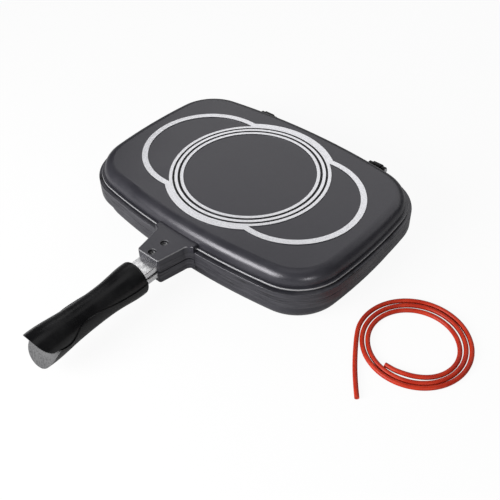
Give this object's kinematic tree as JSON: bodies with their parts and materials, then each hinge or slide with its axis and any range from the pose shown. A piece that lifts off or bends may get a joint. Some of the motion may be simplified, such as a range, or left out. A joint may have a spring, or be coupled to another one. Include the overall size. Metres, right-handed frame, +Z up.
{
  "type": "double sided flip pan",
  "caption": "Rectangular pan of hinged, coated cast halves that close on a seal, with a split handle held by magnets and a loose coil of spare seal",
  "frame": {"origin": "The middle of the pan, on the flat faces of the raised base rings that it stands on.", "axes": "+X runs along the pan, +Y from the handle towards the hinges, +Z up."},
  "size_m": [0.5, 0.4599, 0.0675],
  "materials": {
    "cast_coating": "die-cast with a dark grey satin non-stick coating; the raised base rings are bare bright metal",
    "black_phenolic": "moulded black phenolic, polished sides and a duller end",
    "red_silicone": "satin orange-red silicone cord",
    "tang_steel": "cut steel bar, slightly dull",
    "bright_steel": "bright stamped and turned steel",
    "dark_screws": "dark plated pan head screws",
    "black_hinge": "black satin paint",
    "magnet_nickel": "nickel plated magnet"
  },
  "bodies": {
    "lower_half": {"lower_pan": "cast_coating", "rim_seal": "red_silicone", "lower_tang": "tang_steel", "lower_ferrule": "bright_steel", "lower_grip": "black_phenolic", "lower_lug_screws": "dark_screws", "lower_grip_screw": "bright_steel", "lower_magnet": "magnet_nickel", "left_lower_hinge_leaf": "black_hinge", "right_lower_hinge_leaf": "black_hinge", "lower_leaf_screws": "dark_screws", "left_hinge_pin": "bright_steel", "right_hinge_pin": "bright_steel"},
    "upper_half": {"upper_pan": "cast_coating", "upper_tang": "tang_steel", "upper_ferrule": "bright_steel", "upper_grip": "black_phenolic", "upper_lug_screws": "dark_screws", "upper_grip_screw": "bright_steel", "upper_magnet": "magnet_nickel", "left_upper_hinge_leaf": "black_hinge", "right_upper_hinge_leaf": "black_hinge", "upper_leaf_screws": "dark_screws"},
    "loose_cord": {"spare_seal": "red_silicone"}
  },
  "joints": [
    {"name": "lid_hinge", "type": "hinge", "parent": "lower_half", "child": "upper_half", "pos_m": [0, 0.136, 0.0375], "axis": [-1, 0, 0], "range_deg": [0, 180]},
    {"name": "spare_seal_lift", "type": "slide", "parent": "lower_half", "child": "loose_cord", "axis": [0, 0, 1], "range_m": [0, 0.1]}
  ]
}
